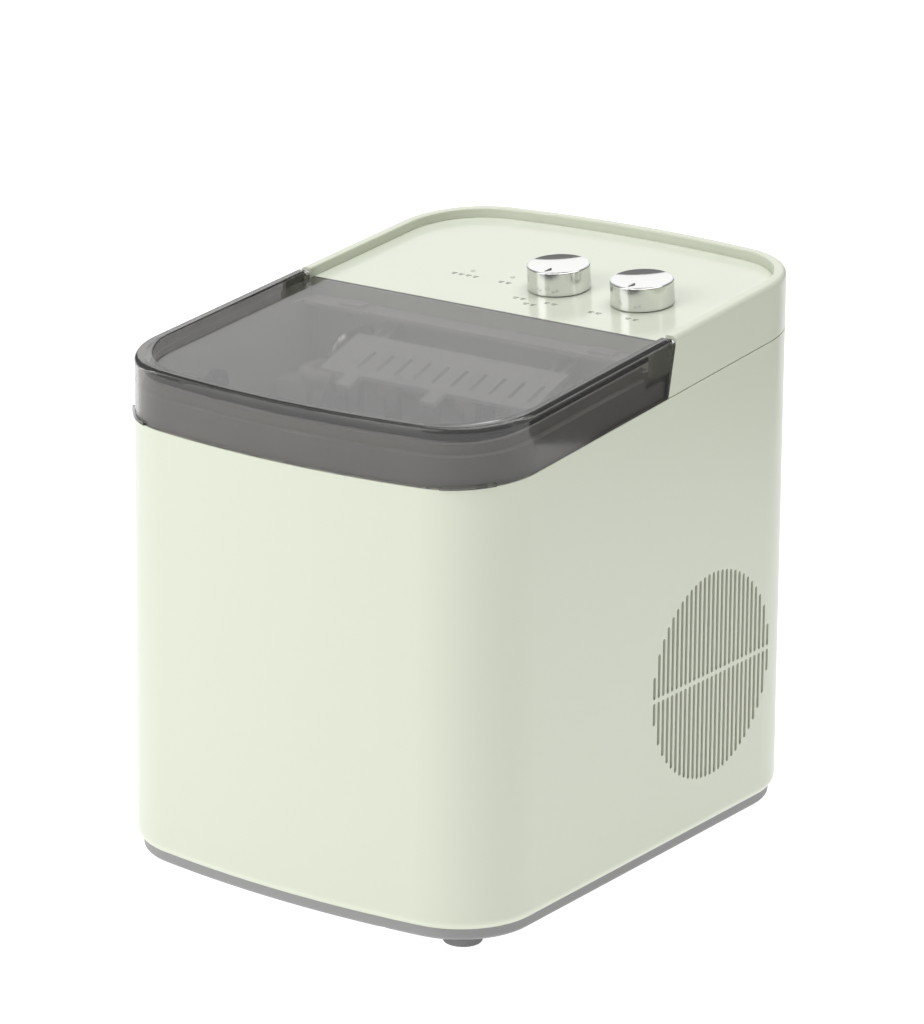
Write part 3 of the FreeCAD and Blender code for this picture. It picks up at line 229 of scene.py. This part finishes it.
def smoked(name):
    """Smoke-tinted clear plastic that lets lamps through to what it covers."""
    n = Nodes(name)
    colour = (0.40, 0.395, 0.39)
    haze = n.noise(45.0, 3.0)
    n.link(n.tint(haze, shade(colour, 0.96), shade(colour, 1.04)), n.shader.inputs["Base Color"])
    n.link(n.spread(haze, 0.03, 0.06), n.shader.inputs["Roughness"])
    n.shader.inputs["Transmission Weight"].default_value = 0.95
    n.shader.inputs["IOR"].default_value = 1.45
    n.bump(n.noise(30.0, 2.0), 0.02, 0.0005)
    clear = n.node("ShaderNodeBsdfTransparent", Color=(0.45, 0.43, 0.42, 1.0))
    path = n.node("ShaderNodeLightPath")
    mix = n.node("ShaderNodeMixShader")
    n.link(path.outputs["Is Shadow Ray"], mix.inputs["Fac"])
    n.link(n.shader.outputs["BSDF"], mix.inputs[1])
    n.link(clear.outputs["BSDF"], mix.inputs[2])
    n.link(mix.outputs["Shader"], n.output.inputs["Surface"])
    return n.material


def floor_material():
    n = Nodes("studio_floor")
    n.shader.inputs["Base Color"].default_value = (0.45, 0.45, 0.45, 1.0)
    n.shader.inputs["Roughness"].default_value = 0.8
    n.shader.inputs["Emission Color"].default_value = (1.0, 1.0, 1.0, 1.0)
    n.shader.inputs["Emission Strength"].default_value = 0.93
    return n.material


def make_materials():
    body = (0.70, 0.735, 0.61)
    return {
        "shell": plastic("shell_satin", body, 0.30, grain=500.0, bump=0.015, vary=0.004,
                         rough_vary=0.02),
        "panel": plastic("panel_gloss", (0.71, 0.75, 0.635), 0.16, bump=0.01, vary=0.004,
                         rough_vary=0.02),
        "base": plastic("base_grey", (0.30, 0.30, 0.30), 0.5, bump=0.25),
        "liner": plastic("liner_white", (0.72, 0.73, 0.69), 0.35, bump=0.1),
        "basket": plastic("basket_white", (0.80, 0.82, 0.82), 0.30, bump=0.08),
        "black": plastic("black_plastic", (0.025, 0.025, 0.026), 0.42, bump=0.25),
        "foam": plastic("foam", (0.82, 0.80, 0.74), 0.9, grain=260.0, bump=0.8, vary=0.08),
        "hose": plastic("silicone", (0.70, 0.70, 0.66), 0.28, bump=0.04),
        "board": plastic("board_green", (0.03, 0.16, 0.07), 0.35, grain=300.0, bump=0.2, vary=0.15),
        "lens": plastic("lamp_lens", (0.55, 0.58, 0.50), 0.15, bump=0.02),
        "paint": plastic("black_enamel", (0.02, 0.02, 0.02), 0.25, grain=500.0, bump=0.15),
        "smoke": smoked("smoked_lid"),
        "chrome": metal("chrome", (0.80, 0.80, 0.79), 0.15, bump=0.002, scale=1200.0),
        "polish": metal("polished_cap", (0.88, 0.88, 0.87), 0.06, bump=0.001, scale=1200.0),
        "steel": metal("zinc_steel", (0.62, 0.61, 0.58), 0.32, (1.0, 1.0, 12.0)),
        "copper": metal("copper_tube", (0.80, 0.40, 0.25), 0.28, (1.0, 1.0, 8.0)),
        "plated": metal("nickel_plate", (0.72, 0.70, 0.66), 0.18),
        "aluminium": metal("aluminium_fin", (0.80, 0.81, 0.82), 0.30, (1.0, 12.0, 1.0)),
        "rubber": rubber("rubber_grey", (0.20, 0.20, 0.20)),
        "ink": plastic("grey_ink", (0.16, 0.17, 0.15), 0.5, bump=0.05),
    }


SLOT_LOOK = {
    "shell_plastic": "shell", "panel_plastic": "panel", "base_plastic": "base", "rubber": "rubber",
    "steel": "steel", "smoke_plastic": "smoke", "chrome": "chrome", "black_plastic": "black",
    "clear_lens": "lens", "board": "board", "liner_plastic": "liner", "basket_plastic": "basket",
    "foam": "foam", "hose": "hose", "plated_metal": "plated", "black_paint": "paint",
    "aluminium": "aluminium", "copper": "copper",
}


def dress_cad_nodes(looks):
    """Every CAD node takes the procedural material of its record slot."""
    slots = {row["node"]: row["material_slot"] for row in frame["record"]["subparts"]}
    for name, node in frame["nodes"].items():
        look = looks["hose"] if name == "lid_pads" else looks[SLOT_LOOK[slots[name]]]
        if not node.material_slots:
            node.data.materials.append(look)
        for place in node.material_slots:
            place.material = look


# ---------------------------------------------------------------- printed and inlaid details
def new_piece(name, edit, material, body):
    mesh = bpy.data.meshes.new(name)
    edit.to_mesh(mesh)
    edit.free()
    piece = bpy.data.objects.new(name, mesh)
    bpy.context.collection.objects.link(piece)
    piece.data.materials.append(material)
    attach(piece, body)
    return piece


PILL_SIDES = 16


def add_pill(edit, x, y, length, width, low, high, turn=0.0):
    """A flat bar with round ends, drawn on the panel's slope; sizes in millimetres."""
    half = max(length / 2 - width / 2, 0.0)
    ring = []
    for i in range(PILL_SIDES):
        angle = math.pi * 2 * (i + 0.5) / PILL_SIDES
        px = math.copysign(half, math.cos(angle)) + width / 2 * math.cos(angle)
        py = width / 2 * math.sin(angle)
        ring.append((x + px * math.cos(turn) - py * math.sin(turn),
                     y + px * math.sin(turn) + py * math.cos(turn)))
    under = [edit.verts.new(slope_point(px, py, low)) for px, py in ring]
    over = [edit.verts.new(slope_point(px, py, high)) for px, py in ring]
    edit.faces.new(list(reversed(under)))
    edit.faces.new(over)
    for i in range(PILL_SIDES):
        j = (i + 1) % PILL_SIDES
        edit.faces.new((under[i], under[j], over[j], over[i]))


# groups of short printed dashes: middle x, middle y, number of dashes
MARKS = ((-40.1, 53.7, 4), (-15.1, 53.3, 2), (5.5, 36.7, 2), (15.2, 31.5, 2),
         (24.1, 37.1, 2), (51.2, 36.1, 2), (72.8, 36.6, 2))


DASH_PITCH = 4.4
DASH_WIDTH = 0.7
DASH_ROW = 0.75                   # how far each of the two rows is from the middle
INK_T = 0.06


def make_marks(looks):
    """Plain dashes where the panel's printed captions are."""
    edit = bmesh.new()
    for x, y, count in MARKS:
        for i in range(count):
            cx = x + (i - (count - 1) / 2) * DASH_PITCH
            add_pill(edit, cx, y + DASH_ROW, 3.2, DASH_WIDTH, 0.0, INK_T)
            add_pill(edit, cx, y - DASH_ROW, 2.2, DASH_WIDTH, 0.0, INK_T)
    new_piece("panel_marks", edit, looks["ink"], "housing")


DIALS = (("left", 13.8, 60.0), ("right", 63.8, 60.0))      # middle of each dial on the panel
CAP_RADIUS = 15.1
CAP_LOW = 11.4                    # height of the middle of the dished top over the panel
CAP_CURVE = 106.96                # radius of the dish
CAP_T = 0.06


def add_dish(edit, x, y, lift, rings=22, spokes=96):
    """One face of a dished disc on the panel's slope; returns its outer ring of points."""
    middle = edit.verts.new(slope_point(x, y, CAP_LOW + lift))
    inner = None
    for k in range(1, rings + 1):
        radius = CAP_RADIUS * k / rings
        height = CAP_LOW + lift + CAP_CURVE - math.sqrt(CAP_CURVE ** 2 - radius ** 2)
        ring = []
        for i in range(spokes):
            angle = math.pi * 2 * i / spokes
            spot = slope_point(x + radius * math.cos(angle), y + radius * math.sin(angle), height)
            ring.append(edit.verts.new(spot))
        for i in range(spokes):
            j = (i + 1) % spokes
            if inner:
                edit.faces.new((inner[i], ring[i], ring[j], inner[j]))
            else:
                edit.faces.new((middle, ring[i], ring[j]))
        inner = ring
    return inner


def make_caps(looks):
    """Polished dished cap let into the top of each dial."""
    for side, x, y in DIALS:
        edit = bmesh.new()
        over = add_dish(edit, x, y, CAP_T)
        under = add_dish(edit, x, y, CAP_T / 3)
        for i in range(len(over)):
            j = (i + 1) % len(over)
            edit.faces.new((over[i], under[i], under[j], over[j]))
        bmesh.ops.recalc_face_normals(edit, faces=edit.faces)
        for face in edit.faces:
            face.smooth = True
        rim = [edge for edge in edit.edges if edge.verts[0] in over and edge.verts[1] in over]
        for edge in rim:
            edge.smooth = False
        new_piece(side + "_dial_cap", edit, looks["polish"], side + "_dial")


POINTER_OUT = 9.4                 # from the middle of the dial to the middle of its line
POINTER_LOW = 12.16
POINTER_TOP = 12.26


def make_pointers(looks):
    """Dark inlay on the raised line of each dial."""
    for side, x, y in DIALS:
        edit = bmesh.new()
        add_pill(edit, x, y - POINTER_OUT, 5.9, 0.6, POINTER_LOW, POINTER_TOP, math.pi / 2)
        new_piece(side + "_pointer", edit, looks["ink"], side + "_dial")


# ---------------------------------------------------------------- scene
make_camera()
make_studio()
looks = make_materials()
dress_cad_nodes(looks)
make_marks(looks)
make_caps(looks)
make_pointers(looks)
